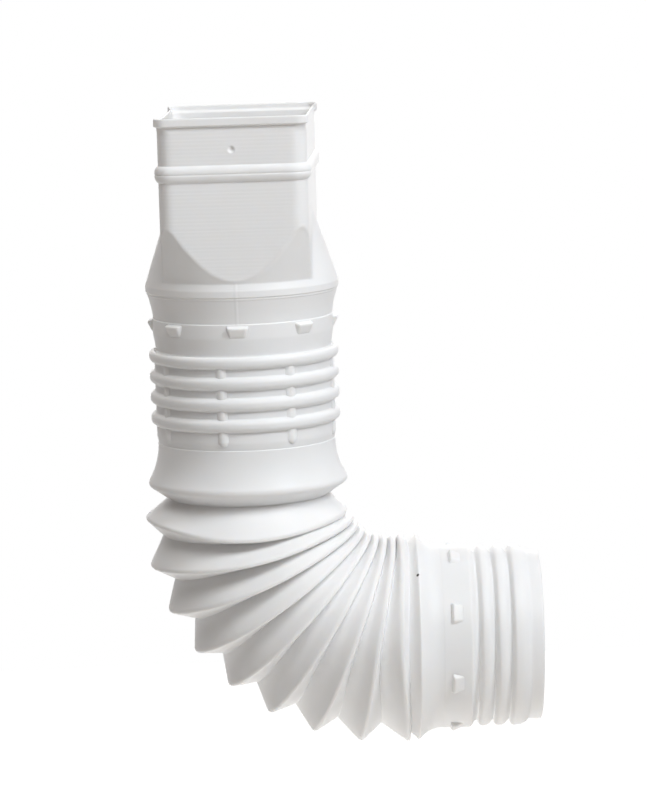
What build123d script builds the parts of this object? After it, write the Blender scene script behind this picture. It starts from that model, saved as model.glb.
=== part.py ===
from build123d import *
from math import cos, radians, sin
import os

# Flexible downspout extension, in millimetres. Two blow-moulded pieces snap together: a 3 x 4 in
# rectangular-to-round adapter on top and an elbow with a folded bellows below it.
# The origin is the centre of the rectangular mouth, +Z points up out of it, and the bellows bends
# in the XZ plane so that the outlet points along +X.

# Walls and fits
wall = 1.3
slip = 1.9  # room on each side of the downspout in the mouth
rim_gap = 1.2  # adapter to the open rim of the cuff
seat_gap = 0.3  # each snap ring to the ridge that rests on it

# Adapter: mouth for the downspout
spout_width = 76.2
spout_depth = 101.6
mouth_corner = 5.6
face_turn = -4.0  # the mouth sits turned by this much in the cuff, degrees
lip_height = 5.0
lip_proud = 1.8
lip_bevel = 1.0
side_drop = 1.5  # the side walls stop this far below the front and rear lips
bead_level = -31.0
bead_height = 9.0
bead_proud = 2.0
bead_bevel = 1.6
dimple_level = -17.8
dimple_radius = 2.2
dimple_depth = 0.9

# Adapter: square-to-round shoulder
shoulder_level = -96.3
shoulder_step = 3.2  # the shoulder stands out from the skirt by this much
shoulder_band = 3.6
funnel_step = 2.8  # the round that cuts the flat faces starts this far inside the shoulder
funnel_slope = 0.364  # radius gained per mm of height where the round cuts the flat faces
flare_slope = 0.33  # radius gained per mm of drop where the round leaves the narrow faces
skirt_level = -111.2
skirt_step = 0.3  # the skirt stands out from the lug band
seam_width = 2.8
seam_proud = 0.4

# Lugs, eight on each spigot
lug_count = 8
lug_height = 6.8
lug_width = 12.5
lug_tip_width = 9.2
lug_proud = 2.7
lug_land = 1.4
lug_root = 1.0  # depth of a lug's foot in the wall
lug_toe = 0.2  # height of a lug at the end of its ramp

# Adapter: spigot
band_level = -115.2
band_step = 1.6  # the lug band stands out from the end that enters the cuff
band_end_level = -123.5
lug_level = -116.3
spigot_gap = 1.9  # spigot to the cuff's wall
snap_gap = 1.2  # snap rings to the bottom of the cuff's grooves
snap_count = 3
snap_base = 4.9
snap_crest = 1.9
spigot_end_level = -171.0

# Elbow: ringed cuff
rim_level = -133.4
ring_level = -136.4
ring_pitch = 11.8
ring_count = 4
ring_height = 7.4
ring_crest = 4.0
ring_proud = 2.8
cuff_radius = 50.6
rib_count = 8
rib_turn = -104.7  # first rib, degrees about Z from +X
rib_radius = 2.7
rib_sides = 4
rib_proud = 1.7
rib_end_level = -183.5
crease_level = -185.7
crease_step = 0.7  # the wall draws in by this much above the flare
flare_level = -209.4
flare_proud = 6.3  # the flare stands out from the crease
flare_edge = 2.2
flare_sag_out = 0.3  # the flare's hollow: share of its rise at its middle
flare_sag_down = 0.58

# Elbow: bellows
throat_level = -217.7
first_fold_level = -228.8
bend_start = -1.8  # centre of the first fold, beside the cuff's axis
bend_radius = 81.1
bend_turn = 90.3
fold_count = 9
fold_lag = 4.3  # the folds lean back from the path by this angle
fold_radius = 58.6
first_fold_step = 1.6  # the first fold is smaller than the others
throat_depth = 11.2  # from the first fold in to the throat
fold_tip = 0.225  # half of the tip's width, as a share of the folds' spacing on the tight side
fold_depth = 12.7
root_shift = 2.3  # the roots of the folds sit this far toward the outside of the bend
root_share = 0.41  # place of a root between its two folds
tip_wall_wide = 2.2
tip_wall_tight = 5.1
root_wall_wide = 1.7
root_wall_tight = 2.6
last_fold_gap = 7.2
last_fold_step = 0.3  # the collar after the last fold is smaller than the folds
last_root_gap = 2.8
last_root_depth = 4.3

# Elbow: spigot, measured along the outlet from the last fold
outlet_turn = 89.0  # the outlet's axis points down by the rest of a right angle
neck_length = 13.3
neck_step = 0.4  # the lug band stands out from the neck
neck_land = 1.5
neck_sag_out = 0.38
neck_sag_along = 0.34
outlet_band_length = 15.5
outlet_band_step = 4.2  # the lug band stands out from the end cuff
outlet_band_slope = 2.6
outlet_lug_start = 19.0
outlet_lug_turn = 23.5
outlet_radius = 47.8
outlet_ring_proud = 3.4
outlet_ring_start = 37.8
outlet_ring_pitch = 9.05
outlet_ring_count = 3
outlet_ring_base = 8.2
outlet_ring_crest = 3.4
outlet_length = 69.6

mouth_width = spout_width + 2 * slip + 2 * wall
mouth_depth = spout_depth + 2 * slip + 2 * wall
mouth = Plane.XY.rotated((0, 0, face_turn))
bead_top, bead_bottom = bead_level + bead_height / 2, bead_level - bead_height / 2

# The adapter's round end is sized from the cuff that takes it, from the spigot up to the shoulder
ring_radius = cuff_radius + ring_proud
spigot_radius = cuff_radius - wall - spigot_gap
snap_radius = ring_radius - wall - snap_gap
cuff_entry_radius = cuff_radius - rim_gap
band_radius = cuff_entry_radius + band_step
skirt_radius = band_radius + skirt_step
shoulder_radius = skirt_radius + shoulder_step

crease_radius = cuff_radius - crease_step
flare_radius = crease_radius + flare_proud
flare_drop = crease_level - flare_level - flare_edge
first_fold_radius = fold_radius - first_fold_step
throat_radius = first_fold_radius - throat_depth
root_radius = fold_radius - fold_depth
last_fold_radius = fold_radius - last_fold_step
last_root_radius = last_fold_radius - last_root_depth
outlet_ring_radius = outlet_radius + outlet_ring_proud
outlet_band_radius = outlet_radius + outlet_band_step
neck_radius = outlet_band_radius - neck_step
neck_flare = last_fold_radius - neck_radius
ring_levels = [ring_level - ring_pitch * i for i in range(ring_count)]


def ring_points(foot, base, crest, radius, level):
    """Corners of a ring's section: base wide at the radius foot, crest wide at its outer radius."""
    return (
        (foot, level - base / 2),
        (radius, level - crest / 2),
        (radius, level + crest / 2),
        (foot, level + base / 2),
    )


def mouth_block(grow, top, bottom, corner=0.0):
    """A rounded rectangular block about the mouth, larger than the outer wall by grow on each side."""
    with BuildPart() as block:
        with BuildSketch(mouth.offset(bottom)):
            RectangleRounded(mouth_width + 2 * grow, mouth_depth + 2 * grow, mouth_corner + grow)
        extrude(amount=top - bottom)
        if corner:
            chamfer(block.edges().group_by(Axis.Z)[0] + block.edges().group_by(Axis.Z)[-1], corner)
    return block.part


def shoulder_form(inset, top):
    """The square-to-round body: the flat faces end where a funnel cuts them, and a flare fills
    the narrow sides. Inset moves every wall inward."""
    rise = top - shoulder_level
    funnel_radius = shoulder_radius - funnel_step
    drop = (shoulder_radius - mouth_width / 2) / flare_slope + 2 * wall
    with BuildPart() as funnel:
        with BuildSketch(Plane.XZ):
            with BuildLine():
                Polyline(
                    (0, shoulder_level),
                    (funnel_radius - inset, shoulder_level),
                    (funnel_radius - inset + rise * funnel_slope, top),
                    (0, top),
                    close=True,
                )
            make_face()
        revolve(axis=Axis.Z)
        add(mouth_block(-inset, top, shoulder_level), mode=Mode.INTERSECT)
        with BuildSketch(Plane.XZ):
            with BuildLine():
                Polyline(
                    (0, shoulder_level),
                    (shoulder_radius - inset, shoulder_level),
                    (shoulder_radius - inset - drop * flare_slope, shoulder_level + drop),
                    (0, shoulder_level + drop),
                    close=True,
                )
            make_face()
        revolve(axis=Axis.Z)
    return funnel.part


def lug_part(radius, width=lug_width):
    """A wedge lug on +X: its steep face at height 0, ramping in to the wall below."""
    with BuildPart() as lug:
        for drop, proud, across in (
            (0, lug_proud, width),
            (lug_land, lug_proud, width - (width - lug_tip_width) * lug_land / lug_height),
            (lug_height, lug_toe, lug_tip_width),
        ):
            with BuildSketch(Plane.XY.offset(-drop)):
                with Locations((radius + (proud - lug_root) / 2, 0)):
                    Rectangle(proud + lug_root, across)
        loft(ruled=True)
    return lug.part


# Adapter's snap rings sit in the first grooves of the cuff, just under the ridges that hang on them
groove_mouth = ring_height - 2 * wall
groove_crest = ring_crest - wall
groove_radius = ring_radius - wall
groove_at_snap = groove_mouth - (groove_mouth - groove_crest) * (snap_radius - cuff_radius + wall) / (
    groove_radius - cuff_radius + wall
)
snap_lift = (groove_at_snap - snap_crest) / 2 - seat_gap
snap_levels = [level + snap_lift for level in ring_levels[:snap_count]]
entry_level = rim_level - wall

with BuildPart() as skirt:
    with BuildSketch(Plane.XZ):
        with BuildLine():
            Polyline(
                (0, shoulder_level),
                (shoulder_radius, shoulder_level),
                (shoulder_radius, shoulder_level - shoulder_band),
                (skirt_radius, skirt_level),
                (skirt_radius, band_level),
                (band_radius, band_level),
                (band_radius, band_end_level),
                (cuff_entry_radius, rim_level),
                (cuff_entry_radius, entry_level),
                (spigot_radius, entry_level),
                (spigot_radius, spigot_end_level),
                (0, spigot_end_level),
                close=True,
            )
        make_face()
        for level in snap_levels:
            Polygon(*ring_points(spigot_radius, snap_base, snap_crest, snap_radius, level), align=None)
    revolve(axis=Axis.Z)

with BuildPart() as skirt_bore:
    with BuildSketch(Plane.XZ):
        with BuildLine():
            Polyline(
                (0, shoulder_level),
                (shoulder_radius - wall, shoulder_level),
                (shoulder_radius - wall, shoulder_level - shoulder_band),
                (skirt_radius - wall, skirt_level),
                (band_radius - wall, band_end_level),
                (spigot_radius - wall, entry_level + wall),
                (spigot_radius - wall, spigot_end_level),
                (0, spigot_end_level),
                close=True,
            )
        make_face()
    revolve(axis=Axis.Z)

# Raised parting line down the middle of the shoulder, front and rear
seam_angle = seam_width / radians(1) / shoulder_radius
with BuildPart() as seam:
    with BuildSketch(Plane.XZ.rotated((0, 0, -seam_angle / 2))):
        with BuildLine():
            Polyline(
                (skirt_radius - wall / 2, shoulder_level),
                (shoulder_radius + seam_proud, shoulder_level),
                (shoulder_radius + seam_proud, shoulder_level - shoulder_band),
                (skirt_radius + seam_proud, skirt_level),
                (skirt_radius + seam_proud, band_level),
                (skirt_radius - wall / 2, band_level),
                close=True,
            )
        make_face()
    revolve(axis=Axis.Z, revolution_arc=seam_angle)

with BuildPart() as adapter:
    add(shoulder_form(0, 0))
    add(skirt.part)
    add(mouth_block(lip_proud, 0, -lip_height, lip_bevel))
    add(mouth_block(bead_proud, bead_top, bead_bottom, bead_bevel))
    with PolarLocations(0, 2, start_angle=face_turn + 90):
        add(seam.part)
    with Locations((0, 0, lug_level)):
        with PolarLocations(0, lug_count, start_angle=face_turn):
            add(lug_part(band_radius))
    # Open right through, with hollows behind the bead and behind the front and rear lips
    add(shoulder_form(wall, wall), mode=Mode.SUBTRACT)
    add(skirt_bore.part, mode=Mode.SUBTRACT)
    add(mouth_block(bead_proud - wall, bead_top - wall, bead_bottom + wall), mode=Mode.SUBTRACT)
    with BuildSketch(mouth.offset(wall - lip_height)):
        RectangleRounded(mouth_width - 2 * wall, mouth_depth - 2 * wall + 2 * lip_proud, mouth_corner)
    extrude(amount=lip_height, mode=Mode.SUBTRACT)
    # The lip runs only along the front and rear; the side walls are trimmed a little lower
    with BuildSketch(mouth.offset(-lip_height)):
        with Locations((-mouth_width / 2 - lip_proud, 0), (mouth_width / 2 + lip_proud, 0)):
            Rectangle(2 * lip_proud, mouth_depth - 2 * mouth_corner)
    extrude(amount=lip_height, mode=Mode.SUBTRACT)
    with BuildSketch(mouth.offset(-side_drop)):
        Rectangle(mouth_width + 4 * lip_proud, mouth_depth - 2 * mouth_corner)
    extrude(amount=side_drop, mode=Mode.SUBTRACT)
    # Moulded dimple on the middle of the front face
    with Locations(
        mouth.from_local_coords((0, dimple_depth - dimple_radius - mouth_depth / 2, dimple_level))
    ):
        Sphere(dimple_radius, mode=Mode.SUBTRACT)

adapter.part.label = "downspout_adapter"

# Elbow's cuff: corrugation rings, eight upright ribs between them and a flare over the bellows
with BuildPart() as cuff:
    with BuildSketch(Plane.XZ):
        with BuildLine():
            Polyline(
                (0, rim_level),
                (cuff_radius, rim_level),
                (cuff_radius, crease_level + ring_height / 2),
                (crease_radius, crease_level),
                (
                    crease_radius + flare_proud * flare_sag_out,
                    crease_level - flare_drop * flare_sag_down,
                ),
                (flare_radius, flare_level + flare_edge),
                (flare_radius, flare_level - flare_edge / 2),
                (throat_radius, throat_level),
                (0, throat_level),
                (0, rim_level),
            )
        make_face()
        for level in ring_levels:
            Polygon(*ring_points(cuff_radius, ring_height, ring_crest, ring_radius, level), align=None)
        with Locations((0, rim_level)):
            Rectangle(2 * ring_radius, ring_height, align=(Align.MIN, Align.MIN), mode=Mode.SUBTRACT)
    revolve(axis=Axis.Z)
    with BuildSketch(Plane.XY.offset(ring_levels[0])):
        with PolarLocations(cuff_radius + rib_proud - rib_radius, rib_count, start_angle=rib_turn):
            RegularPolygon(rib_radius, rib_sides)
    extrude(amount=rib_end_level - ring_levels[0])

with BuildPart() as cuff_bore:
    with BuildSketch(Plane.XZ):
        with BuildLine():
            Polyline(
                (0, rim_level),
                (cuff_entry_radius + rim_gap, rim_level),
                (cuff_entry_radius + rim_gap, ring_level),
                (cuff_radius - wall, ring_level),
                (cuff_radius - wall, crease_level + ring_height / 2),
                (crease_radius - wall, crease_level),
                (
                    crease_radius - wall + flare_proud * flare_sag_out,
                    crease_level - flare_drop * flare_sag_down,
                ),
                (flare_radius - 1.6 * wall, flare_level + flare_edge),
                (flare_radius - 1.6 * wall, flare_level + flare_edge / 2),
                (throat_radius - root_wall_wide, throat_level),
                (0, throat_level),
                close=True,
            )
        make_face()
        for level in ring_levels:
            groove = ring_points(cuff_radius - wall, groove_mouth, groove_crest, groove_radius, level)
            Polygon(*groove, align=None)
    revolve(axis=Axis.Z)


def fold_plane(turn, shift=0.0):
    """The plane across the bellows where it has turned by this angle. Its x points to the outside
    of the bend and its z along the flow; shift moves its centre to the outside."""
    out, on = radians(turn), radians(turn + fold_lag)
    centre_x = bend_start + bend_radius * (cos(radians(fold_lag)) - cos(on)) - shift * cos(out)
    centre_z = first_fold_level + bend_radius * (sin(radians(fold_lag)) - sin(on)) - shift * sin(out)
    return Plane(
        origin=(centre_x, 0, centre_z), x_dir=(-cos(out), 0, -sin(out)), z_dir=(sin(out), 0, -cos(out))
    )


fold_step = bend_turn / (fold_count - 1)
tip_half = fold_tip * (bend_radius - fold_radius) * radians(fold_step)
throat_plane = Plane(origin=(0, 0, throat_level), x_dir=(-1, 0, 0), z_dir=(0, 0, -1))
out = radians(outlet_turn)
last_plane = Plane(
    origin=fold_plane(bend_turn).origin, x_dir=(-cos(out), 0, -sin(out)), z_dir=(sin(out), 0, -cos(out))
)
outlet_plane = last_plane.offset(last_fold_gap)


def bellows_form(tip_sides, throat, tip_trim, tip_slide, root_trim, root_slide, last_root, last_tip):
    """A solid through the folds' circles. Each fold has a root nearer to the fold before it, like
    overlapping slats. tip_sides place the circles that make up a fold's tip."""
    sections = [(throat_plane, throat)]
    for i in range(fold_count):
        turn = fold_step * i
        tip = first_fold_radius if i == 0 else fold_radius
        for side in tip_sides:
            sections.append((fold_plane(turn, tip_slide).offset(side), tip - tip_trim))
        if i < fold_count - 1:
            root_plane = fold_plane(turn + root_share * fold_step, root_shift + root_slide)
            sections.append((root_plane, root_radius - root_trim))
    sections.append((last_plane.offset(last_root_gap), last_root))
    sections.append((outlet_plane, last_tip))
    middle = len(sections) // 2
    with BuildPart() as form:
        for run in (sections[: middle + 1], sections[middle:]):
            for plane, radius in run:
                with BuildSketch(plane):
                    Circle(radius)
            loft(ruled=True)
    return form.part


# The bore follows the folds, with the wall doubled up on the tight side of the bend
bellows = bellows_form(
    (-tip_half, tip_half), throat_radius, 0, 0, 0, 0, last_root_radius, last_fold_radius
)
bellows_bore = bellows_form(
    (0,),
    throat_radius - root_wall_wide,
    (tip_wall_wide + tip_wall_tight) / 2,
    (tip_wall_tight - tip_wall_wide) / 2,
    (root_wall_wide + root_wall_tight) / 2,
    (root_wall_tight - root_wall_wide) / 2,
    last_root_radius - 2 * root_wall_wide,
    last_fold_radius - tip_wall_wide,
)

# Spigot for corrugated pipe, built upright and then set on the outlet plane
outlet_rings = [outlet_ring_start + outlet_ring_pitch * i for i in range(outlet_ring_count)]
band_start, band_stop = neck_length, neck_length + outlet_band_length
band_foot = band_stop + outlet_band_slope
sag_radius, sag_level = neck_radius + neck_flare * neck_sag_out, neck_length * neck_sag_along
with BuildPart() as spigot:
    with BuildSketch(Plane.XZ):
        with BuildLine():
            Polyline(
                (0, 0),
                (last_fold_radius, 0),
                (sag_radius, sag_level),
                (neck_radius, neck_length - neck_land),
                (neck_radius, band_start),
                (outlet_band_radius, band_start),
                (outlet_band_radius, band_stop),
                (outlet_radius, band_foot),
                (outlet_radius, outlet_length),
                (0, outlet_length),
                close=True,
            )
        make_face()
        for level in outlet_rings:
            ring = ring_points(
                outlet_radius, outlet_ring_base, outlet_ring_crest, outlet_ring_radius, level
            )
            Polygon(*ring, align=None)
    revolve(axis=Axis.Z)
    with BuildSketch(Plane.XZ):
        with BuildLine():
            Polyline(
                (0, 0),
                (last_fold_radius - tip_wall_wide, 0),
                (sag_radius - wall, sag_level - wall / 2),
                (neck_radius - wall, neck_length - neck_land - wall / 2),
                (neck_radius - wall, band_stop - wall / 2),
                (outlet_radius - wall, band_foot - wall / 2),
                (outlet_radius - wall, outlet_length),
                (0, outlet_length),
                close=True,
            )
        make_face()
    revolve(axis=Axis.Z, mode=Mode.SUBTRACT)
    with Locations(Location((0, 0, outlet_lug_start), (180, 0, 0))):
        with PolarLocations(0, lug_count, start_angle=outlet_lug_turn):
            add(lug_part(outlet_band_radius))

with BuildPart() as elbow:
    add(cuff.part)
    add(bellows)
    add(cuff_bore.part, mode=Mode.SUBTRACT)
    add(bellows_bore, mode=Mode.SUBTRACT)
    add(spigot.part.moved(outlet_plane.location))

elbow.part.label = "flexible_elbow"

os.makedirs("parts", exist_ok=True)
export_step(adapter.part, "parts/downspout_adapter.step")
export_step(elbow.part, "parts/flexible_elbow.step")
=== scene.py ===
"""A flexible downspout extension in white blow-moulded plastic: the rectangular-to-round adapter
and the bellows elbow that it snaps into, each as one skin of numpy grids over the CAD piece.

Lengths in the shape functions are millimetres, in the part's own frame: the origin is the centre of
the rectangular mouth, +Z points up out of it and the outlet points along +X. Lengths in the
material, the room and the camera are metres.
"""

import bpy
import numpy as np
from mathutils import Matrix, Vector


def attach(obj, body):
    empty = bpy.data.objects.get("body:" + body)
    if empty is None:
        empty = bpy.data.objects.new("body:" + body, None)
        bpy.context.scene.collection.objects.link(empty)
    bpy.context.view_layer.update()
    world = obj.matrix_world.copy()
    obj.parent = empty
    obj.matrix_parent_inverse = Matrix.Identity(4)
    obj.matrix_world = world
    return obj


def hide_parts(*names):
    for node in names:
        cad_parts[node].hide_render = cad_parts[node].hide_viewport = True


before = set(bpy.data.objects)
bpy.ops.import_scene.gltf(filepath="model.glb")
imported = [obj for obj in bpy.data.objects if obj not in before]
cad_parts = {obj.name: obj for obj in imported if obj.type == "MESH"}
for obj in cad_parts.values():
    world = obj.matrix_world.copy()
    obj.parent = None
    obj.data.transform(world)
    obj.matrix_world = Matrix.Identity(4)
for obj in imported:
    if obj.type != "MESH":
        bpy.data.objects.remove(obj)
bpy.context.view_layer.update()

MM = 0.001
WALL = 1.3

# ---- Sizes of the adapter ----

MOUTH_HALF = np.array([41.3, 54.0])
# The corners are tight at the lip and rounder below it, and change between two levels
MOUTH_CORNER, BODY_CORNER, LEAST_CORNER = 5.6, 8.4, 0.6
CORNER_CHANGE = (-9.0, -4.5)
# The mouth is turned in the cuff, and the adapter leans a little about a level of its spigot
FACE_TURN = np.radians(-4.0)
LEAN, LEAN_LEVEL = 0.0052, -150.0

# Lip: its ends are counted from where the corners start, its ledges from its foot. The side walls
# are trimmed lower by SIDE_DROP
LIP_HEIGHT, LIP_PROUD, SIDE_DROP = 5.0, 1.8, 1.5
LIP_END, DROP_RUN = (-0.6, 0.1), (-LIP_HEIGHT, -0.5)
LEDGE_OUTSIDE, LEDGE_INSIDE = (-0.2, 0.9), (0.9, 2.4)
RIM_ROUNDING = np.array([0.04, 0.13, 0.28, 0.5])

# Bead, with a fine groove along it. In the bore it is narrower, by BEAD_NARROWING times the wall
BEAD_LEVEL, BEAD_HEIGHT, BEAD_PROUD, BEAD_NARROWING = -31.0, 9.4, 2.1, 1.6
GROOVE_DEPTH, GROOVE_DROP, GROOVE_WIDTH = 0.3, 0.2, 0.45
DIMPLE_LEVEL, DIMPLE_RADIUS, DIMPLE_DEPTH, DIMPLE_FLOOR = -17.8, 2.3, 1.1, 0.25
# The mould lines lie where the wall is this near to the plain rectangle
FLAT_WALL = 0.12

# Square-to-round shoulder, with a fine ridge where the funnel cuts the flat walls
SHOULDER_LEVEL, SHOULDER_RADIUS = -96.3, 54.5
FUNNEL_RADIUS, FUNNEL_SLOPE, FUNNEL_BLEND, FUNNEL_HEIGHT = 51.7, 0.364, 0.35, 62.0
FLARE_SLOPE, FLARE_BLEND = 0.33, 0.3
RIDGE_HEIGHT, RIDGE_SHIFT, RIDGE_WIDTH = 0.3, 0.3, 0.5

# Skirt and spigot below the shoulder: level and radius
SPIGOT_RADIUS = 47.4
SKIRT = np.array([
    (-96.3, 54.5), (-99.7, 54.5), (-100.2, 53.95), (-101.2, 53.9), (-101.7, 53.5), (-106.0, 52.3),
    (-110.0, 51.35), (-113.0, 50.85), (-115.0, 50.65), (-115.35, 51.1), (-123.5, 51.0),
    (-133.4, 49.4), (-134.7, 49.3), (-134.9, SPIGOT_RADIUS), (-171.0, SPIGOT_RADIUS),
])
SNAP_LEVELS, SNAP_BASE, SNAP_RADIUS = (-136.1, -147.9, -159.7), 4.9, 50.8
# Seam down the skirt: its height, its edge to each side and its two ends
SEAM_PROUD, SEAM_EDGE, SEAM_FOOT, SEAM_TOP = 0.12, (0.4, 1.1), (-116.0, -114.6), (-93.5, -90.5)

# Columns round the mouth: at a corner, on a front or rear wall, on a side wall and at the dimple
CORNER_COLUMNS, FRONT_COLUMNS, SIDE_COLUMNS, DIMPLE_COLUMNS = 13, 47, 49, 19
DIMPLE_SPAN, COLUMN_SPACE, LIP_COLUMN = 3.0, 0.2, 0.5
# Levels of the rows up the outside and down the bore, close where the wall turns
ADAPTER_OUTSIDE = np.concatenate([
    np.linspace(-170.6, -163, 4), np.linspace(-162.6, -134.9, 30), np.linspace(-134.7, -133.4, 3),
    np.linspace(-132.5, -123.9, 8), np.linspace(-123.5, -115.7, 7),
    [-115.4, -115.3, -115.15, -115.0, -114.7], np.linspace(-114.0, -102.3, 12),
    np.linspace(-101.9, -99.5, 13), np.linspace(-99.0, -88.0, 29), np.linspace(-87.4, -60.0, 44),
    np.linspace(-58.6, -36.4, 15), np.linspace(-36.0, -26.0, 34), np.linspace(-25.6, -21.0, 8),
    np.linspace(-20.6, -15.0, 19), np.linspace(-14.4, -5.6, 13), np.linspace(-5.25, -4.05, 8),
    np.linspace(-3.8, -0.9, 6), [-0.6, -0.35, -0.15, -0.04],
])
ADAPTER_INSIDE = np.concatenate([
    [-0.04, -0.15, -0.35, -0.6, -1.0, -1.8], np.linspace(-2.4, -4.4, 7), np.linspace(-6, -26, 8),
    np.linspace(-27.5, -34.5, 14), np.linspace(-37, -97.5, 34), np.linspace(-98.5, -134, 14),
    [-134.7, -136, -150, -170.6],
])

# ---- Sizes of the lugs ----

LUG_COUNT, LUG_HEIGHT, LUG_WIDTH, LUG_TIP_WIDTH, LUG_LAND = 8, 6.8, 12.5, 9.6, 1.6
# Half the run of the steep face, the run of the sides, and how far the foot spreads and sinks
LUG_FACE, LUG_SIDE, LUG_SPREAD, LUG_SINK = 0.9, 1.9, 0.5, 0.35
# The ramp falls by this share of the height, and the rest goes between these ends of the tip
LUG_FALL, LUG_TIP = 0.97, (-1.2, 0.5)
LUG_COLUMNS = 25
LUG_ROWS = np.concatenate([
    np.linspace(-LUG_FACE, 1.6, 11), np.linspace(2.1, LUG_HEIGHT + 0.6, 12),
])
BAND_RADIUS, ADAPTER_LUG_LEVEL, ADAPTER_LUG_PROUD = 51.0, -116.3, 2.7
OUTLET_BAND_RADIUS, OUTLET_LUG_START, OUTLET_LUG_PROUD = 52.0, 17.8, 2.3
OUTLET_LUG_TURN = np.radians(-24.8)

# ---- Sizes of the elbow ----

# Cuff with its rings and ribs
RIM_LEVEL, RING_LEVEL, RING_PITCH, RING_COUNT = -133.4, -136.4, 11.8, 4
RING_HEIGHT, RING_RADIUS, CUFF_RADIUS = 7.4, 53.5, 50.6
RIB_COUNT, RIB_TURN, RIB_HALF, RIB_PROUD = 8, np.radians(-105.2), 3.5, 1.35
RIB_TOP, RIB_END, RIB_SINK, RIB_SHARPNESS = RING_LEVEL - 1.0, -183.5, 0.3, 1.15
RIB_COLUMNS, RIB_ROWS, RIB_END_ROWS = 17, 34, 9
# In the bore each ring is a narrower groove, and the rim is slightly rounded
BORE_RING_DEPTH, BORE_RING_HALF = 2.8, 2.6
RIM_CHAMFER, BORE_RIM = 0.6, (50.5, 50.2, 50.5)

# Crease, hollow flare with its rounded edge as level and radius, and throat
CREASE_LEVEL, CREASE_RADIUS, CREASE_RUN = -185.7, 49.8, 3.7
CREASE_STEP, CREASE_STEP_RUN = 0.35, 0.35
FLARE_LEVEL, FLARE_RADIUS, FLARE_HOLLOW, FLARE_LAND = -209.4, 56.2, 2.15, 1.6
FLARE_EDGE = np.array([
    (-208.0, 56.15), (-208.9, 56.25), (-209.7, 56.15), (-210.5, 55.7), (-211.2, 54.9),
    (-211.8, 53.9),
])
THROAT_LEVEL, THROAT_RADIUS = -217.7, 45.4

# Bellows: angles in degrees about the bend
FIRST_FOLD, BEND_START, BEND_RADIUS, BEND_TURN = -228.8, -1.8, 81.1, 90.3
FOLDS, FOLD_LAG, OUTLET_TURN = 9, 4.3, 89.0
FOLD_RADIUS, FIRST_FOLD_RADIUS, ROOT_RADIUS, ROOT_SHIFT, ROOT_SHARE = 59.0, 56.8, 45.9, 2.3, 0.40
# Each crest is a narrow land between two rounded corners, wider on the tight side
CREST_LAND, TIGHT_LAND, CREST_ROUNDING = 0.8, 0.5, 1.1
# Beside the bend the folds lie shut like slats: how far along the flow each crest sits there
CREST_DRIFT = (6.9, 4.1, 2.7, 1.9, 1.5, 1.1, 0.5, -1.4, -3.2)
ROOT_DRIFT, LAST_ROOT_DRIFT = -4.2, -2.0
# On the tight side the folds are pressed together, so the grooves are shallow there, and further
# round towards the outlet: where the rise starts and ends in the first groove, and the change of
# both from groove to groove
SHUT_RISE, SHUT_RANGE, SHUT_CHANGE = 10.6, (-0.2, 0.8), (-0.06, -0.04)
LAST_GAP, LAST_ROOT_GAP, LAST_ROOT_RADIUS, LAST_FOLD_RADIUS = 7.2, 2.4, 54.0, 58.5
LAST_FOLD_ROUNDING, NECK_START, NECK_RADIUS = 0.9, 2.0, 56.35
# The bore's folds: how much smaller than outside, and how far toward the inside of the bend
BORE_CREST_TRIM, BORE_CREST_SHIFT = 3.0, 1.45
BORE_ROOT_TRIM, BORE_ROOT_SHIFT = 2.05, 0.45
LAST_BORE_RADIUS = 50.8
# The bore's throat and flare: level and radius
BORE_FLARE = (
    (THROAT_LEVEL, THROAT_RADIUS - WALL), (FLARE_LEVEL, FLARE_RADIUS - 2.1),
    (FLARE_LEVEL + 3.4, FLARE_RADIUS - 2.4),
)

# Outlet spigot, from the last fold outward: distance and radius
OUTLET_RADIUS, OUTLET_RING_RADIUS, OUTLET_LENGTH = 47.8, 51.2, 69.6
OUTLET_PROFILE = np.array([
    (0.0, 58.3), (0.9, 57.4), (2.6, 55.9), (4.3, 54.45), (6.0, 53.5), (7.7, 52.8), (9.4, 52.3),
    (11.1, 52.0), (13.0, 51.88), (13.5, 52.0), (28.7, 52.0), (29.5, 51.5), (31.7, 48.5),
    (32.5, 47.9), (OUTLET_LENGTH, OUTLET_RADIUS),
])
OUTLET_RINGS, RING_BEFORE, RING_AFTER = (36.1, 45.2, 54.3), 2.8, (5.6, 5.6, 8.0)
OUTLET_BORE = np.array([
    (0, 55.6), (3, 53.4), (6, 51.5), (10, 50.5), (28, 50.4), (31.5, 46.5), (OUTLET_LENGTH, 46.5),
])
BORE_RINGS_START, BORE_RING_SHIFT, BORE_RING_SHARE = 33.5, 0.4, 0.85
OUTLET_ROUNDING, OUTLET_BORE_ROUNDING = (0.12, 0.35, 0.65), (0.45, 0.2, 0.05)

# Columns and rows of the elbow, close where the wall turns
ELBOW_COLUMNS, CORNER_SAMPLES, BORE_SAMPLES = 160, 5, 3
CUFF_ROWS = np.concatenate([
    [RIM_LEVEL], np.linspace(RIM_LEVEL - 0.35, -176.0, 92), np.linspace(-177, -185.2, 8),
    [-185.55, -185.7, -185.85, -186.05, -186.3], np.linspace(-187.0, -207.2, 25),
])
CUFF_BORE_ROWS = np.concatenate([
    np.linspace(-205.5, -187, 8), np.linspace(-184, -135.2, 52), [-134.6, -134.0, RIM_LEVEL],
])
OUTLET_ROWS = np.concatenate([
    np.linspace(2.0, 12.6, 14), [13.0, 13.15, 13.4, 13.8], np.linspace(15, 27.6, 8),
    np.linspace(28.0, 33.6, 15), np.linspace(34.0, 62.6, 68),
    [64, 66.5, 68.6, 69.1, 69.45, OUTLET_LENGTH],
])
OUTLET_BORE_ROWS = np.concatenate([
    [OUTLET_LENGTH, 69.2, 68.8, 66, 62], np.linspace(60.5, 33, 38),
    [31.5, 29, 27, 20, 13, 9, 6, 4, 2.5, 1],
])

# ---- Plastic, room, lamps and camera ----

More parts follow.
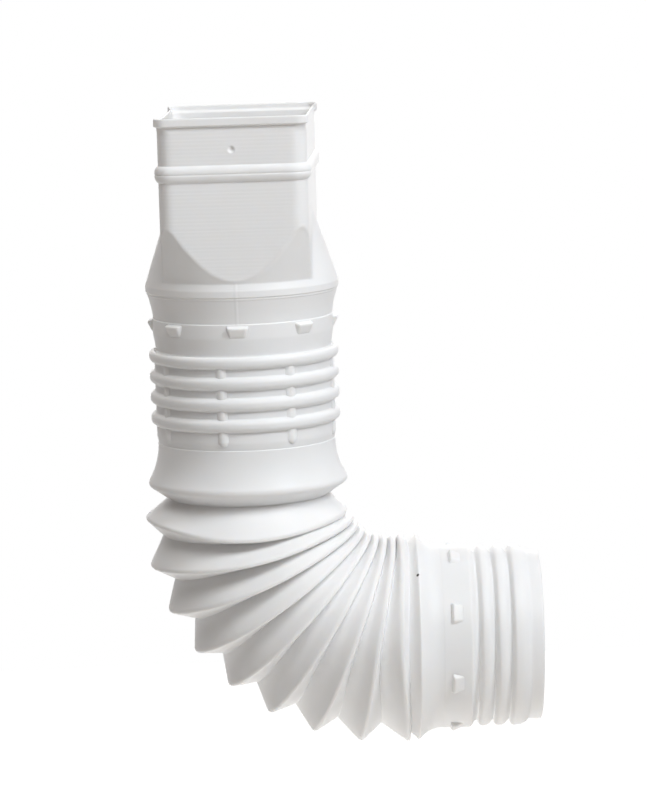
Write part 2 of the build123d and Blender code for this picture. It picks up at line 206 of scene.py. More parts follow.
WHITE, SHADED_WHITE = (0.905, 0.905, 0.915, 1), (0.87, 0.868, 0.862, 1)
SPECK_PLACE, SPECK_COLOUR = (0.0926, -0.0392, -0.2610), (0.03, 0.028, 0.025, 1)
SPECK_RADIUS, SPECK_REACH = 0.0006, 0.0012
ROUGHNESS, CLOUD_ROUGHNESS, GRAIN_ROUGHNESS = 0.36, 0.08, 0.05
# Mould lines: their pitch, how far they wander and how they fade, as a gain and a shift
LINE_PITCH, LINE_WANDER, LINE_GAIN, LINE_SHIFT = 0.0021, 2.5, 1.6, 0.3
LINE_HEIGHT, GRAIN_HEIGHT, FLOW_HEIGHT = 0.00003, 0.00001, 0.00006

FLOOR_LEVEL, FLOOR_HALF, FLOOR_COLOUR = -1.1, 4.0, (0.6, 0.59, 0.58, 1)
# The floor's lift to white: from and to these distances from the part's origin
GLOW_NEAR, GLOW_FAR, GLOW_UNDER_PART = 1.4, 2.8, 0.72
AMBIENT, AMBIENT_TINT = 0.15, (1.0, 0.87, 0.77, 1)
PLAIN_WHITE = (1, 1, 1, 1)

# Name, degrees right of the front and up, distance, size, watts and colour
LAMP_TARGET = np.array([0.05, 0.0, -0.2])
LAMPS = (
    ("key", (48, 41), 2.4, 0.85, 34.0, (0.93, 0.965, 1.0)),
    ("front", (0, 50), 2.4, 1.0, 19.5, (0.99, 1.0, 0.99)),
    ("right", (105, 25), 2.4, 1.2, 5.5, (0.98, 0.98, 1.0)),
    ("rear_left", (-120, 50), 2.4, 1.2, 7.5, (1.0, 0.95, 0.91)),
    ("back", (180, 8), 2.4, 1.4, 10.0, (1.0, 0.98, 0.96)),
    ("below", (0, -80), 0.78, 1.0, 3.2, (1.0, 0.97, 0.92)),
)

CAMERA_TARGET, CAMERA_DISTANCE = np.array([0.0441, 0.0, -0.1655]), 2.4338
CAMERA_AZIMUTH, CAMERA_ELEVATION, CAMERA_ROLL = np.radians([-1.2, 7.65, -1.948])
SENSOR_HEIGHT, LENS = 24.0, 129.0


# ---- Curves that the shapes share ----

def smooth_step(low, high, value):
    """0 below low, 1 above high, and the cubic 3t^2 - 2t^3 between them."""
    t = np.clip((value - low) / (high - low), 0.0, 1.0)
    return t * t * (3.0 - 2.0 * t)


def soft_max(a, b, blend):
    """The larger of a and b, with the corner between them rounded by a hyperbola of size blend."""
    return 0.5 * (a + b + np.sqrt((a - b) ** 2 + blend ** 2))


def soft_min(a, b, blend):
    """The smaller of a and b, rounded as in soft_max."""
    return -soft_max(-a, -b, blend)


def half_round(distance, half):
    """A ring's section: (1 - t^2.6)^0.75 of t, the distance as a share of half. It is 1 in the
    middle and 0 at half to each side, a flattened half ellipse."""
    t = np.clip(np.abs(distance) / half, 0.0, 1.0)
    return (1.0 - t ** 2.6) ** 0.75


def add_object(name, data):
    """Puts a mesh, lamp or camera into the scene as an object."""
    thing = bpy.data.objects.new(name, data)
    bpy.context.scene.collection.objects.link(thing)
    return thing


class Skin:
    """Collects grids of points into one mesh of quads."""

    def __init__(self):
        self.points, self.quads, self.marks, self.count = [], [], [], 0

    def grid(self, points, around=True, closed=False, mark=0.0):
        """Adds rows by columns of points. around joins the last column to the first, closed the
        last row to the first. The faces are turned so that the grid's signed volume, the sum of
        a . (b x c) over its triangles, is positive."""
        rows, columns = points.shape[:2]
        index = np.arange(rows * columns).reshape(rows, columns)
        row_pairs = np.arange(rows if closed else rows - 1)
        column_pairs = np.arange(columns if around else columns - 1)
        row, column = np.meshgrid(row_pairs, column_pairs, indexing="ij")
        next_row, next_column = (row + 1) % rows, (column + 1) % columns
        quads = np.stack([
            index[row, column], index[row, next_column],
            index[next_row, next_column], index[next_row, column],
        ], -1).reshape(-1, 4)
        flat = points.reshape(-1, 3)
        middle = flat.mean(axis=0)
        a, b, c, d = (flat[quads[:, i]] - middle for i in range(4))
        volume = np.einsum("ij,ij->", a, np.cross(b, c)) + np.einsum("ij,ij->", a, np.cross(c, d))
        if volume < 0:
            quads = quads[:, ::-1]
        self.points.append(flat)
        self.quads.append(quads + self.count)
        self.marks.append(np.broadcast_to(mark, (rows, columns)).reshape(-1))
        self.count += len(flat)

    def make(self, name, node, material):
        """Puts the collected grids into a smooth mesh object that stands for the CAD node."""
        points = np.concatenate(self.points) * MM
        quads = np.concatenate(self.quads)
        mesh = bpy.data.meshes.new(name)
        mesh.vertices.add(len(points))
        mesh.vertices.foreach_set("co", points.astype(np.float32).ravel())
        mesh.loops.add(quads.size)
        mesh.loops.foreach_set("vertex_index", quads.astype(np.int32).ravel())
        mesh.polygons.add(len(quads))
        mesh.polygons.foreach_set("loop_start", np.arange(0, quads.size, 4, dtype=np.int32))
        mesh.polygons.foreach_set("use_smooth", np.ones(len(quads), dtype=bool))
        mesh.update(calc_edges=True)
        mesh.validate()
        lines = mesh.attributes.new("mould_lines", "FLOAT", "POINT")
        lines.data.foreach_set("value", np.concatenate(self.marks).astype(np.float32))
        mesh.materials.append(material)
        piece = add_object(name, mesh)
        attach(piece, "root")
        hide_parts(node)
        return piece


# ---- Adapter ----

def mouth_outline():
    """Points spread along the mouth's outline, closer together round its corners and at the dimple:
    their directions from the axis, as angles in the adapter's own turn, and their y."""
    a, b = MOUTH_HALF
    c = MOUTH_CORNER
    arc = np.linspace(0, np.pi / 2, CORNER_COLUMNS)
    front = np.linspace(-(a - c), a - c, FRONT_COLUMNS)[1:-1]
    front = np.sort(np.concatenate([
        front[np.abs(front) > DIMPLE_SPAN + COLUMN_SPACE],
        np.linspace(-DIMPLE_SPAN, DIMPLE_SPAN, DIMPLE_COLUMNS),
    ]))
    side = np.linspace(-(b - c), b - c, SIDE_COLUMNS)[1:-1]
    # One more column close to each end of a side, where the lip is cut away
    side = np.sort(np.concatenate([side, [-(b - c) + LIP_COLUMN, b - c - LIP_COLUMN]]))
    xs, ys = [], []
    for quarter, (sx, sy) in enumerate(((1, 1), (-1, 1), (-1, -1), (1, -1))):
        turn = arc + quarter * np.pi / 2
        xs.append(sx * (a - c) + c * np.cos(turn))
        ys.append(sy * (b - c) + c * np.sin(turn))
        if quarter % 2 == 0:
            xs.append(-front * sy)
            ys.append(np.full(len(front), sy * b))
        else:
            xs.append(np.full(len(side), sx * a))
            ys.append(side * sx)
    x, y = np.concatenate(xs), np.concatenate(ys)
    return np.arctan2(y, x), y


def rectangle_reach(angle, grow, level):
    """Distance from the axis to a rounded rectangle in a direction: to the nearer of the two side
    planes, or the far root of |t d - centre| = corner where that point lies in a corner's square.
    The rectangle is the mouth's, larger by grow to each side."""
    a, b = MOUTH_HALF[0] + grow, MOUTH_HALF[1] + grow
    corner = BODY_CORNER + (MOUTH_CORNER - BODY_CORNER) * smooth_step(*CORNER_CHANGE, level)
    corner = np.maximum(corner + grow, LEAST_CORNER)
    dx, dy = np.cos(angle), np.sin(angle)
    flat = np.minimum(a / np.maximum(np.abs(dx), 1e-9), b / np.maximum(np.abs(dy), 1e-9))
    cx, cy = (a - corner) * np.sign(dx), (b - corner) * np.sign(dy)
    along = dx * cx + dy * cy
    inside = along ** 2 - (cx ** 2 + cy ** 2 - corner ** 2)
    rounded = along + np.sqrt(np.maximum(inside, 0.0))
    in_square = (np.abs(flat * dx) > a - corner) & (np.abs(flat * dy) > b - corner)
    return np.where(in_square, rounded, flat)


def adapter_reach(angle, level, inset, grow):
    """Radius of the adapter's wall, inset from the outside: above the shoulder the rectangle cut by
    a funnel, plus a bell-shaped ridge at that edge, joined with a flare; below it the skirt."""
    height = level - SHOULDER_LEVEL
    above = np.maximum(height, 0.0)
    funnel = FUNNEL_RADIUS + FUNNEL_SLOPE * above - inset
    flare = SHOULDER_RADIUS - FLARE_SLOPE * above - inset
    square = rectangle_reach(angle, grow - inset, level)
    cut = soft_min(square, funnel, FUNNEL_BLEND)
    if not inset:
        off_edge = (square - funnel - RIDGE_SHIFT) / RIDGE_WIDTH
        cut = cut + RIDGE_HEIGHT * np.exp(-off_edge ** 2)
    upper = soft_max(cut, flare, FLARE_BLEND)
    upper = np.where(height > FUNNEL_HEIGHT, square, upper)
    lower = np.interp(-level, -SKIRT[:, 0], SKIRT[:, 1]) - inset
    return np.where(height >= 0.0, upper, lower)


def adapter_rows(levels, inset, angle, lip_mask):
    """Radii for each level and direction: the wall with the lip and the bead, and outside also the
    bead's groove, a bell curve, and the snap rings."""
    level = levels[:, None]
    ledge = LEDGE_INSIDE if inset else LEDGE_OUTSIDE
    lip = LIP_PROUD * lip_mask * smooth_step(ledge[0] - LIP_HEIGHT, ledge[1] - LIP_HEIGHT, level)
    bead_half = (BEAD_HEIGHT - BEAD_NARROWING * inset) / 2
    bead = BEAD_PROUD * half_round(level - BEAD_LEVEL, bead_half)
    if not inset:
        off_groove = (level - BEAD_LEVEL + GROOVE_DROP) / GROOVE_WIDTH
        bead = bead - GROOVE_DEPTH * np.exp(-off_groove ** 2)
    reach = adapter_reach(angle[None, :], level, inset, lip + bead)
    if not inset:
        for snap in SNAP_LEVELS:
            reach = reach + (SNAP_RADIUS - SPIGOT_RADIUS) * half_round(level - snap, SNAP_BASE / 2)
    return reach


def adapter_skin(material):
    """The adapter's closed wall: rows run up the outside, over the rim and down the bore, and the
    last row joins the first at the spigot's end."""
    angle, y = mouth_outline()
    corner_start = MOUTH_HALF[1] - MOUTH_CORNER
    lip_mask = smooth_step(corner_start + LIP_END[0], corner_start + LIP_END[1], np.abs(y))[None, :]
    outside, inside = ADAPTER_OUTSIDE, ADAPTER_INSIDE
    outer = adapter_rows(outside, 0.0, angle, lip_mask)
    inner = adapter_rows(inside, WALL, angle, lip_mask)
    outer[-4:] -= RIM_ROUNDING[:, None]
    inner[:4] += RIM_ROUNDING[::-1, None]
    # Raised seam down the middle of the front and rear of the skirt
    span = smooth_step(*SEAM_FOOT, outside) * (1 - smooth_step(*SEAM_TOP, outside))
    for middle in (-np.pi / 2, np.pi / 2):
        off_seam = np.abs((angle - middle + np.pi) % (2 * np.pi) - np.pi) * SHOULDER_RADIUS
        outer += SEAM_PROUD * span[:, None] * (1 - smooth_step(*SEAM_EDGE, off_seam[None, :]))
    # Dimple in the middle of the front face
    front_x = outer * np.cos(angle)[None, :]
    far = np.hypot(front_x, outside[:, None] - DIMPLE_LEVEL) / DIMPLE_RADIUS
    facing = (np.sin(angle) < 0)[None, :]
    outer -= np.where(facing, DIMPLE_DEPTH * (1 - smooth_step(DIMPLE_FLOOR, 1.0, far)), 0.0)
    # The side walls are trimmed lower than the lips
    drop = SIDE_DROP * (1 - lip_mask)

    def place(reach, levels):
        """Points of rows at these levels, turned and leaning, and drawn down toward the rim."""
        turned = angle + FACE_TURN
        level = levels[:, None] - drop * smooth_step(*DROP_RUN, levels)[:, None]
        x = reach * np.cos(turned) + LEAN * (level - LEAN_LEVEL)
        return np.stack([x, reach * np.sin(turned), level + 0 * reach], -1)

    plain = rectangle_reach(angle[None, :], 0.0, outside[:, None])
    between = (outside > SHOULDER_LEVEL) & (outside < -LIP_HEIGHT)
    lines = (np.abs(outer - plain) < FLAT_WALL) & between[:, None]
    skin = Skin()
    skin.grid(
        np.concatenate([place(outer, outside), place(inner, inside)]), closed=True,
        mark=np.concatenate([lines.astype(float), np.zeros_like(inner)]),
    )
    return skin.make("adapter_skin", "downspout_adapter", material)


def lug_grid(radius, proud, middle, start, direction):
    """One lug as a height over the wall: it climbs steeply from its upper edge, keeps level for a
    short land and then ramps down to the wall, while its sides draw in. direction is -1 or 1, the
    way the ramp runs along the axis. Returns angle, level and radius for a grid."""
    u = np.linspace(-1, 1, LUG_COLUMNS)[None, :]
    v = LUG_ROWS[:, None]
    width = LUG_WIDTH + (LUG_TIP_WIDTH - LUG_WIDTH) * np.clip(v / LUG_HEIGHT, 0, 1)
    half = 0.5 * width + LUG_SPREAD
    ramp = 1 - np.clip((v - LUG_LAND) / (LUG_HEIGHT - LUG_LAND), 0, 1) * LUG_FALL
    tip = smooth_step(LUG_HEIGHT + LUG_TIP[0], LUG_HEIGHT + LUG_TIP[1], v)
    rise = smooth_step(-LUG_FACE, LUG_FACE, v) * (1 - tip)
    side = smooth_step(0.0, LUG_SIDE, (1 - np.abs(u)) * half)
    reach = radius - LUG_SINK + (proud * ramp + LUG_SINK) * rise * side
    return middle + u * half / radius + 0 * v, start + direction * v + 0 * u, reach + 0 * u


def adapter_lugs(material):
    """Eight lugs round the adapter's band."""
    skin = Skin()
    for i in range(LUG_COUNT):
        middle = FACE_TURN + i * 2 * np.pi / LUG_COUNT
        turn, level, reach = lug_grid(
            BAND_RADIUS, ADAPTER_LUG_PROUD, middle, ADAPTER_LUG_LEVEL, -1)
        x = reach * np.cos(turn) + LEAN * (level - LEAN_LEVEL)
        skin.grid(np.stack([x, reach * np.sin(turn), level], -1), around=False)
    return skin.make("adapter_lugs", "downspout_adapter", material)


# ---- Elbow ----

def fold_frame(turn, shift):
    """Centre, outward and flow directions of the bellows at a turn of the bend in degrees. The
    centre runs on a circle of the bend's radius, FOLD_LAG ahead of the turn, and is moved by shift
    toward the inside of the bend."""
    out, on = np.radians(turn), np.radians(turn + FOLD_LAG)
    lag = np.radians(FOLD_LAG)
    cx = BEND_START + BEND_RADIUS * (np.cos(lag) - np.cos(on)) - shift * np.cos(out)
    cz = FIRST_FOLD + BEND_RADIUS * (np.sin(lag) - np.sin(on)) - shift * np.sin(out)
    centre = np.array([cx, 0.0, cz])
    outward = np.array([-np.cos(out), 0.0, -np.sin(out)])
    flow = np.array([np.sin(out), 0.0, -np.cos(out)])
    return centre, outward, flow


def hoop(centre, outward, radius, phi):
    """A circle about centre in the plane of outward and Y."""
    spoke = np.cos(phi)[:, None] * outward + np.sin(phi)[:, None] * [0.0, 1.0, 0.0]
    return centre + radius * spoke


def turned_rows(start, outward, flow, along, radii, phi):
    """Circles of the given radii at the given distances along a straight axis."""
    return np.stack([hoop(start + flow * a, outward, r, phi) for a, r in zip(along, radii)])


def rounded_run(corners, samples):
    """Rows through corner circles. A corner with a reach is rounded by a quadratic Bezier curve
    that starts and ends at most reach from it along its two straight flanks, and a corner without
    one stays sharp. Close rows beside every corner keep the shading flat along the flanks. Neither
    the curve nor those rows go further than a share of the flank."""
    most, most_beside, most_at_sharp = 0.38, 0.46, 0.3
    gap, sharp_gap = 0.4, 0.3
    rows = [corners[0][0]]
    for (before, _), (here, reach), (after, _) in zip(corners[:-2], corners[1:-1], corners[2:]):
        back, ahead = before - here, after - here
        far_back = np.linalg.norm(back, axis=-1, keepdims=True)
        far_ahead = np.linalg.norm(ahead, axis=-1, keepdims=True)
        if reach:
            a = here + back * np.minimum(reach / far_back, most)
            c = here + ahead * np.minimum(reach / far_ahead, most)
            rows.append(here + back * np.minimum((reach + gap) / far_back, most_beside))
            for t in np.linspace(0, 1, samples):
                rows.append((1 - t) ** 2 * a + 2 * t * (1 - t) * here + t ** 2 * c)
            rows.append(here + ahead * np.minimum((reach + gap) / far_ahead, most_beside))
        else:
            rows += [
                here + back * np.minimum(sharp_gap / far_back, most_at_sharp), here,
                here + ahead * np.minimum(sharp_gap / far_ahead, most_at_sharp),
            ]
    rows.append(corners[-1][0])
    return np.stack(rows)


def cuff_radius(level):
    """The cuff's outer radius: a plain wall with half-round rings, which narrows to a crease, and
    from a small step a hollow flare that widens as a power of the way down."""
    narrow = np.clip((CREASE_LEVEL + CREASE_RUN - level) / CREASE_RUN, 0, 1)
    wall = CUFF_RADIUS + (CREASE_RADIUS - CUFF_RADIUS) * narrow
    down = np.clip((CREASE_LEVEL - level) / (CREASE_LEVEL - FLARE_LEVEL - FLARE_LAND), 0, 1)
    step = CREASE_STEP * np.clip((CREASE_LEVEL - level) / CREASE_STEP_RUN, 0, 1)
    widening = (FLARE_RADIUS - CREASE_RADIUS - CREASE_STEP) * down ** FLARE_HOLLOW
    radius = np.where(level < CREASE_LEVEL, CREASE_RADIUS + step + widening, wall)
    for i in range(RING_COUNT):
        ring = half_round(level - (RING_LEVEL - RING_PITCH * i), RING_HEIGHT / 2)
        radius = radius + (RING_RADIUS - CUFF_RADIUS) * ring
    return radius


def outlet_rings(along):
    """Height of the three snap rings over the end cuff: each is a blunt ridge, (1 - t^2.4)^0.9,
    with t the distance as a share of its run, short on the bellows' side and longer beyond."""
    height = 0.0 * along
    for ring, after in zip(OUTLET_RINGS, RING_AFTER):
        t = np.where(along < ring, (ring - along) / RING_BEFORE, (along - ring) / after)
        height = height + (1 - np.clip(t, 0, 1) ** 2.4) ** 0.9
    return (OUTLET_RING_RADIUS - OUTLET_RADIUS) * np.clip(height, 0, 1)


def outlet_profile(along):
    """The outlet's radius along its axis: neck, lug band and end cuff, with the rings on it."""
    return np.interp(along, OUTLET_PROFILE[:, 0], OUTLET_PROFILE[:, 1]) + outlet_rings(along)


def elbow_skin(material):
    """The elbow's closed wall: outside from the rim to the outlet's end, and back in the bore."""
    phi = np.linspace(0, 2 * np.pi, ELBOW_COLUMNS, endpoint=False)
    down, left = np.array([0.0, 0.0, -1.0]), np.array([-1.0, 0.0, 0.0])
    origin = np.zeros(3)

    # Cuff and flare
    radii = cuff_radius(CUFF_ROWS)
    radii[0] -= RIM_CHAMFER
    levels = np.concatenate([CUFF_ROWS, FLARE_EDGE[:, 0]])
    radii = np.concatenate([radii, FLARE_EDGE[:, 1]])
    cuff = turned_rows(origin, left, down, -levels, radii, phi)

    # Bellows
    step = BEND_TURN / (FOLDS - 1)
    beside = np.abs(np.sin(phi))[:, None] ** 3
    land = (CREST_LAND + TIGHT_LAND * (0.5 - 0.5 * np.cos(phi)) ** 2)[:, None]

    def crest(i, trim, shift):
        """Fold i's crest, a circle swept along the flow beside the bend, and its flow direction."""
        centre, outward, flow = fold_frame(step * i, shift)
        radius = (FIRST_FOLD_RADIUS if i == 0 else FOLD_RADIUS) - trim
        return hoop(centre, outward, radius, phi) + flow * CREST_DRIFT[i] * beside, flow

    def root(i, trim, shift):
        """The groove after fold i, swept like its crest and risen where the folds lie shut."""
        centre, outward, flow = fold_frame(step * (i + ROOT_SHARE), ROOT_SHIFT + shift)
        start, end = (at + change * i for at, change in zip(SHUT_RANGE, SHUT_CHANGE))
        shut = smooth_step(start, end, -np.cos(phi))[:, None]
        radius = ROOT_RADIUS + SHUT_RISE * shut - trim
        return hoop(centre, outward, radius, phi) + flow * (CREST_DRIFT[i] + ROOT_DRIFT) * beside

    throat = np.array([0, 0, THROAT_LEVEL])
    corners = [(cuff[-1], 0), (hoop(throat, left, THROAT_RADIUS, phi), 0)]
    for i in range(FOLDS):
        circle, on = crest(i, 0.0, 0.0)
        corners += [(circle - on * land, CREST_ROUNDING), (circle + on * land, CREST_ROUNDING)]
        if i < FOLDS - 1:
            corners.append((root(i, 0.0, 0.0), 0))
    last = fold_frame(BEND_TURN, 0.0)[0]
    _, outward, flow = fold_frame(OUTLET_TURN, 0.0)
    outlet, last_groove = last + flow * LAST_GAP, last + flow * LAST_ROOT_GAP
    last_root = hoop(last_groove, outward, LAST_ROOT_RADIUS, phi) + flow * LAST_ROOT_DRIFT * beside
    neck = hoop(outlet + flow * NECK_START, outward, NECK_RADIUS, phi)
    last_fold = hoop(outlet, outward, LAST_FOLD_RADIUS, phi)
    corners += [(last_root, 0), (last_fold, LAST_FOLD_ROUNDING), (neck, 0)]
    bellows = rounded_run(corners, CORNER_SAMPLES)[1:-1]

    # Neck, lug band, snap rings and end
    spigot = outlet_profile(OUTLET_ROWS)
    spigot[-3:] -= OUTLET_ROUNDING
    outside = turned_rows(outlet, outward, flow, OUTLET_ROWS, spigot, phi)

    # Bore of the outlet
    back = OUTLET_BORE_ROWS
    bore = np.interp(back, OUTLET_BORE[:, 0], OUTLET_BORE[:, 1])
    bore += BORE_RING_SHARE * (outlet_rings(back - BORE_RING_SHIFT) * (back > BORE_RINGS_START))
    bore[:3] += OUTLET_BORE_ROUNDING
    inside_outlet = turned_rows(outlet, outward, flow, back, bore, phi)

    # Bore of the bellows and the flare
    folds = [(inside_outlet[-1], 0), (hoop(last_groove, outward, LAST_BORE_RADIUS, phi), 0)]
    for i in reversed(range(FOLDS)):
        folds.append((crest(i, BORE_CREST_TRIM, BORE_CREST_SHIFT)[0], 0))
        if i:
            folds.append((root(i - 1, BORE_ROOT_TRIM, BORE_ROOT_SHIFT), 0))
    for level, radius in BORE_FLARE:
        folds.append((hoop(np.array([0, 0, level]), left, radius, phi), 0))
    inside_bend = rounded_run(folds, BORE_SAMPLES)[1:-1]

    # Bore of the cuff
    up = CUFF_BORE_ROWS
    cuff_bore = cuff_radius(up) - WALL
    for i in range(RING_COUNT):
        off_ring = up - (RING_LEVEL - RING_PITCH * i)
        groove = half_round(off_ring, BORE_RING_HALF) - half_round(off_ring, RING_HEIGHT / 2)
        cuff_bore += BORE_RING_DEPTH * groove
    cuff_bore[-3:] = BORE_RIM
    inside_cuff = turned_rows(origin, left, down, -up, cuff_bore, phi)

    skin = Skin()
    skin.grid(
        np.concatenate([cuff, bellows, outside, inside_outlet, inside_bend, inside_cuff]),
        closed=True,
    )
    return skin.make("elbow_skin", "flexible_elbow", material)


def elbow_ribs(material):
    """Eight upright ribs on the cuff, low domes in section, (1 - u^2) to a power, whose half width
    and height run out as a quarter circle at the lower end."""
    u = np.sin(np.linspace(-np.pi / 2, np.pi / 2, RIB_COLUMNS))[None, :]
    round_start = RIB_END + RIB_HALF
    rounding = np.sin(np.linspace(0, np.pi / 2, RIB_END_ROWS))[1:]
    level = np.concatenate([
        np.linspace(RIB_TOP, round_start, RIB_ROWS), round_start - RIB_HALF * rounding,
    ])[:, None]
    end = np.sqrt(np.clip(1 - ((round_start - level) / RIB_HALF).clip(0, 1) ** 2, 0, 1))
    dome = (1 - u ** 2) ** RIB_SHARPNESS * end
    reach = CUFF_RADIUS - RIB_SINK + (RIB_PROUD + RIB_SINK) * dome
    skin = Skin()
    for i in range(RIB_COUNT):
        middle = RIB_TURN + i * 2 * np.pi / RIB_COUNT
        turn = middle + u * RIB_HALF * end / CUFF_RADIUS + 0 * level
        points = np.stack([reach * np.cos(turn), reach * np.sin(turn), level + 0 * reach], -1)
        skin.grid(points, around=False)
    return skin.make("elbow_ribs", "flexible_elbow", material)


def elbow_lugs(material):
    """Eight lugs round the outlet's band, with their steep faces toward the bellows."""
    _, outward, flow = fold_frame(OUTLET_TURN, 0.0)
    outlet = fold_frame(BEND_TURN, 0.0)[0] + flow * LAST_GAP
    sideways = np.array([0.0, 1.0, 0.0])
    skin = Skin()
    for i in range(LUG_COUNT):
        middle = OUTLET_LUG_TURN + i * 2 * np.pi / LUG_COUNT
        turn, along, reach = lug_grid(
            OUTLET_BAND_RADIUS, OUTLET_LUG_PROUD, middle, OUTLET_LUG_START, 1)
        spoke = np.cos(turn)[..., None] * outward + np.sin(turn)[..., None] * sideways
        lug = outlet + flow * along[..., None] + reach[..., None] * spoke
        skin.grid(lug, around=False)
    return skin.make("elbow_lugs", "flexible_elbow", material)


# ---- Material ----

class Value:
    """A shader socket that adds, subtracts and multiplies as a number does."""

    def __init__(self, tree, socket):
        self.tree, self.socket = tree, socket

    def __add__(self, other): return self.tree.math("ADD", self, other)
    def __radd__(self, other): return self.tree.math("ADD", other, self)
    def __sub__(self, other): return self.tree.math("SUBTRACT", self, other)
    def __rsub__(self, other): return self.tree.math("SUBTRACT", other, self)
    def __mul__(self, other): return self.tree.math("MULTIPLY", self, other)
    def __rmul__(self, other): return self.tree.math("MULTIPLY", other, self)


class Tree:
    """The node tree of a material or a world, cleared and ready for nodes."""

    def __init__(self, owner):
        self.owner = owner
        owner.use_nodes = True
        self.nodes, self.links = owner.node_tree.nodes, owner.node_tree.links
        self.nodes.clear()

    def node(self, kind, settings, *inputs, output=0, **named):
        """Adds a node: its settings first, then its inputs in order and by name, with underscores
        for spaces and None for an input that is left alone. Returns one of its outputs."""
        new = self.nodes.new(kind)
        for key, value in settings.items():
            setattr(new, key, value)
        keyed = [(key.replace("_", " "), value) for key, value in named.items()]
        for key, value in list(enumerate(inputs)) + keyed:
            if value is None:
                continue
            if isinstance(value, Value):
                self.links.new(value.socket, new.inputs[key])
            else:
                new.inputs[key].default_value = value
        return Value(self, new.outputs[output]) if new.outputs else new

    def math(self, operation, *inputs):
        """One operation of the Math node."""
        return self.node("ShaderNodeMath", {"operation": operation}, *inputs)

    def mix(self, factor, first, second):
        """A blend of two colours, which are a Mix node's inputs 6 and 7 and its output 2."""
        unused = [None] * 5
        return self.node(
            "ShaderNodeMix", {"data_type": "RGBA"}, factor, *unused, first, second, output=2)

    def place(self):
        """The point in the object's own coordinates."""
        return self.node("ShaderNodeTexCoord", {}, output=3)


def white_plastic(name, speck=None):
    """Satin white polyethylene: a faint uneven tone, fine moulding texture, horizontal mould lines
    where the mesh marks them, and a small dirt speck where one is given."""
    tree = Tree(bpy.data.materials.new(name))
    place = tree.place()
    cloud = tree.node("ShaderNodeTexNoise", {}, place, Scale=22.0, Detail=3.0, Roughness=0.55)
    grain = tree.node("ShaderNodeTexNoise", {}, place, Scale=900.0, Detail=2.0, Roughness=0.6)
    flow = tree.node("ShaderNodeTexNoise", {}, place, Scale=60.0, Detail=2.0)
    colour = tree.mix(cloud, WHITE, SHADED_WHITE)
    if speck is not None:
        away = tree.node("ShaderNodeVectorMath", {"operation": "DISTANCE"}, place, speck, output=1)
        dark = tree.node(
            "ShaderNodeMapRange", {"interpolation_type": "SMOOTHSTEP"}, away,
            From_Min=SPECK_RADIUS, From_Max=SPECK_REACH, To_Min=1.0, To_Max=0.0)
        colour = tree.mix(dark, colour, SPECK_COLOUR)
    height = tree.node("ShaderNodeSeparateXYZ", {}, place, output=2)
    wobble = tree.node(
        "ShaderNodeTexNoise", {"noise_dimensions": "1D"}, None, height, Scale=300.0)
    lines = tree.math("SINE", height * (2 * np.pi / LINE_PITCH) + wobble * LINE_WANDER)
    marked = tree.node("ShaderNodeAttribute", {"attribute_name": "mould_lines"}, output=2)
    relief = (
        lines * (wobble * LINE_GAIN - LINE_SHIFT) * marked * LINE_HEIGHT
        + grain * GRAIN_HEIGHT + flow * FLOW_HEIGHT
    )
    surface = tree.node(
        "ShaderNodeBsdfPrincipled", {}, Base_Color=colour,
        Roughness=ROUGHNESS + cloud * CLOUD_ROUGHNESS + grain * GRAIN_ROUGHNESS,
        Normal=tree.node("ShaderNodeBump", {}, Strength=0.8, Distance=1.0, Height=relief),
        Specular_IOR_Level=0.32, Subsurface_Weight=0.25, Subsurface_Radius=(1.0, 0.8, 0.65),
        Subsurface_Scale=0.005)
    tree.node("ShaderNodeOutputMaterial", {}, surface)
    return tree.owner


# ---- Room, lamps and camera ----

def background_ray(tree):
    """1 for rays that show the background: seen straight, in a gloss or through glass."""
    path = tree.node("ShaderNodeLightPath", {}).socket.node.outputs
    seen, gloss, glass = (
        Value(tree, path[f"Is {kind} Ray"]) for kind in ("Camera", "Glossy", "Transmission"))
    return tree.math("MAXIMUM", seen, tree.math("MAXIMUM", gloss, glass))


def build_floor():
    """A wide pale floor below the hanging part, lifted to white for the camera: fully white far
    off, and less under the part, where its shadow falls."""
    tree = Tree(bpy.data.materials.new("floor_paint"))
    shows = background_ray(tree)
    paint = tree.node("ShaderNodeBsdfDiffuse", {}, FLOOR_COLOUR)
    away = tree.node("ShaderNodeVectorMath", {"operation": "LENGTH"}, tree.place(), output=1)
    lift = tree.node(
        "ShaderNodeMapRange", {"interpolation_type": "SMOOTHSTEP"}, away,
        From_Min=GLOW_NEAR, From_Max=GLOW_FAR, To_Min=GLOW_UNDER_PART, To_Max=1.0)
    glow = tree.node("ShaderNodeEmission", {}, PLAIN_WHITE, shows * lift)
    both = tree.node("ShaderNodeAddShader", {}, paint, glow)
    tree.node("ShaderNodeOutputMaterial", {}, both)
    mesh = bpy.data.meshes.new("floor")
    corners = [(x * FLOOR_HALF, y * FLOOR_HALF, FLOOR_LEVEL)
               for x, y in ((-1, -1), (1, -1), (1, 1), (-1, 1))]
    mesh.from_pydata(corners, [], [(0, 1, 2, 3)])
    mesh.materials.append(tree.owner)
    floor = add_object("floor", mesh)


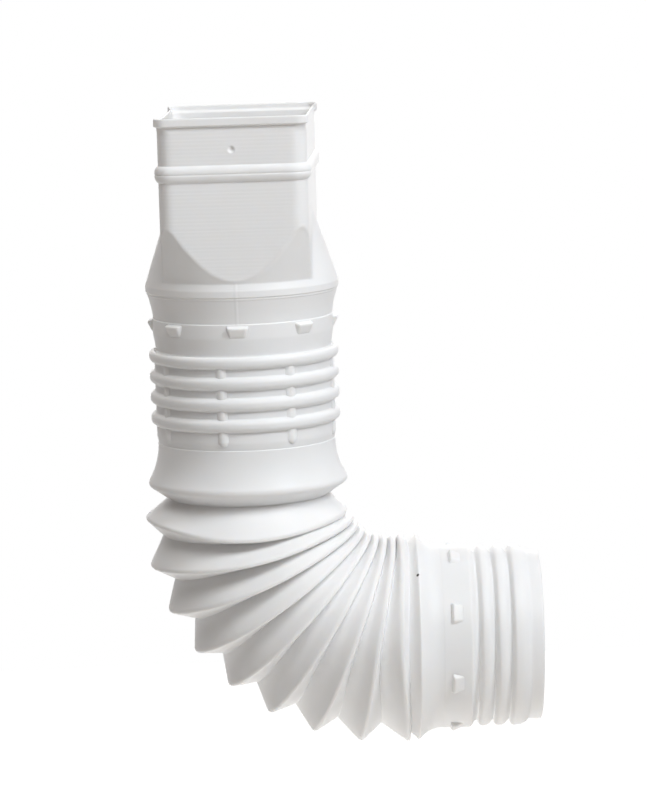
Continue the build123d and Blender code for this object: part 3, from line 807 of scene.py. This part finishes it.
def build_world():
    """Even, faintly warm light from all round, and plain white where the background shows."""
    world = bpy.data.worlds.new("studio")
    bpy.context.scene.world = world
    tree = Tree(world)
    shows = background_ray(tree)
    strength = shows * (1 - AMBIENT) + AMBIENT
    colour = tree.mix(shows, AMBIENT_TINT, PLAIN_WHITE)
    sky = tree.node("ShaderNodeBackground", {}, colour, strength)
    tree.node("ShaderNodeOutputWorld", {}, sky)


def direction_from(azimuth, elevation):
    """The unit vector toward a place that far to the right of the front, and that far up."""
    return np.array([
        np.sin(azimuth) * np.cos(elevation), -np.cos(azimuth) * np.cos(elevation),
        np.sin(elevation),
    ])


def soft_lamp(name, direction, distance, size, power, colour):
    """A square area lamp that faces the part from a direction: degrees to the right of the front,
    and degrees up."""
    away = direction_from(*np.radians(direction))
    data = bpy.data.lights.new(name, "AREA")
    data.shape, data.size, data.energy, data.color = "SQUARE", size, power, colour
    lamp = add_object(name, data)
    lamp.location = LAMP_TARGET + away * distance
    lamp.visible_camera = False
    lamp.rotation_euler = Vector(-away).to_track_quat("-Z", "Y").to_euler()


def build_camera():
    """A long lens that looks down a little from the front, slightly rolled as in the photograph."""
    back = direction_from(CAMERA_AZIMUTH, CAMERA_ELEVATION)
    right = np.array([np.cos(CAMERA_AZIMUTH), np.sin(CAMERA_AZIMUTH), 0.0])
    up = np.cross(back, right)
    cos, sin = np.cos(CAMERA_ROLL), np.sin(CAMERA_ROLL)
    turn = Matrix((cos * right + sin * up, cos * up - sin * right, back)).transposed().to_4x4()
    data = bpy.data.cameras.new("camera")
    data.sensor_fit, data.sensor_height, data.lens = "VERTICAL", SENSOR_HEIGHT, LENS
    camera = add_object("camera", data)
    camera.matrix_world = Matrix.Translation(CAMERA_TARGET + back * CAMERA_DISTANCE) @ turn
    bpy.context.scene.camera = camera


adapter_plastic = white_plastic("adapter_plastic")
elbow_plastic = white_plastic("elbow_plastic", SPECK_PLACE)
adapter_skin(adapter_plastic)
adapter_lugs(adapter_plastic)
elbow_skin(elbow_plastic)
elbow_ribs(elbow_plastic)
elbow_lugs(elbow_plastic)

build_floor()
build_world()
for lamp in LAMPS:
    soft_lamp(*lamp)
build_camera()
bpy.context.scene.view_settings.view_transform = "Standard"
